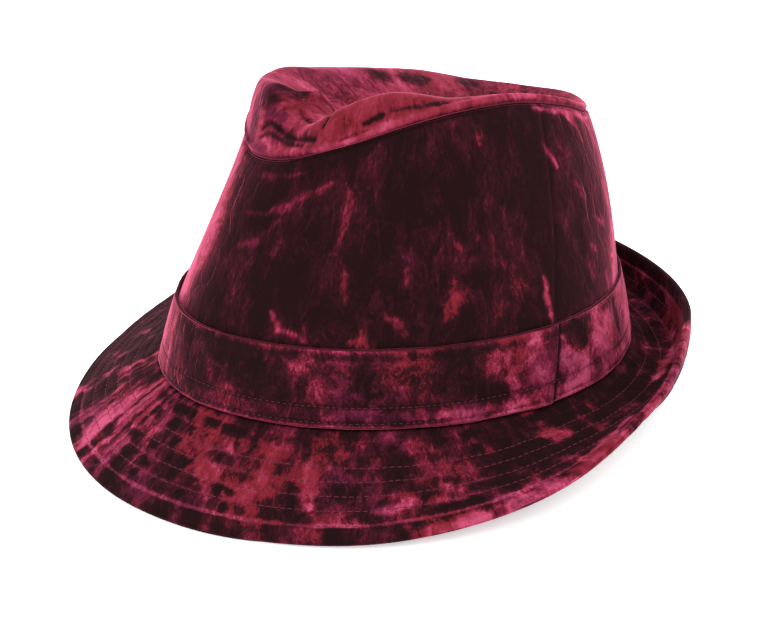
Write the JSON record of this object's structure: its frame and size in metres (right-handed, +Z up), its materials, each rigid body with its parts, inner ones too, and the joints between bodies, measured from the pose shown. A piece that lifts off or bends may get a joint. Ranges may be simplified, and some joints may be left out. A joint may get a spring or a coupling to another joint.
{
  "type": "fedora hat",
  "caption": "Stitched crushed-velvet fedora of trilby shape: teardrop dent and front pinches in the crown, folded fabric band, and a short brim curled up at the back.",
  "frame": {"origin": "middle of the hat's box, on the surface that it rests on", "axes": "+X to the wearer's left, +Y to the back of the hat, +Z up; the front is at -Y"},
  "size_m": [0.266, 0.2734, 0.1369],
  "materials": {
    "crown_velvet": "crushed velvet, wine red with rose highlights",
    "band_velvet": "crushed velvet, wine red with rose highlights, folded edge",
    "brim_velvet": "crushed velvet in two plies, topstitched in rings"
  },
  "bodies": {
    "root": {"crown_tip": "crown_velvet", "crown_side": "crown_velvet", "hat_band": "band_velvet", "brim_upper": "brim_velvet", "brim_under": "brim_velvet"}
  },
  "joints": []
}
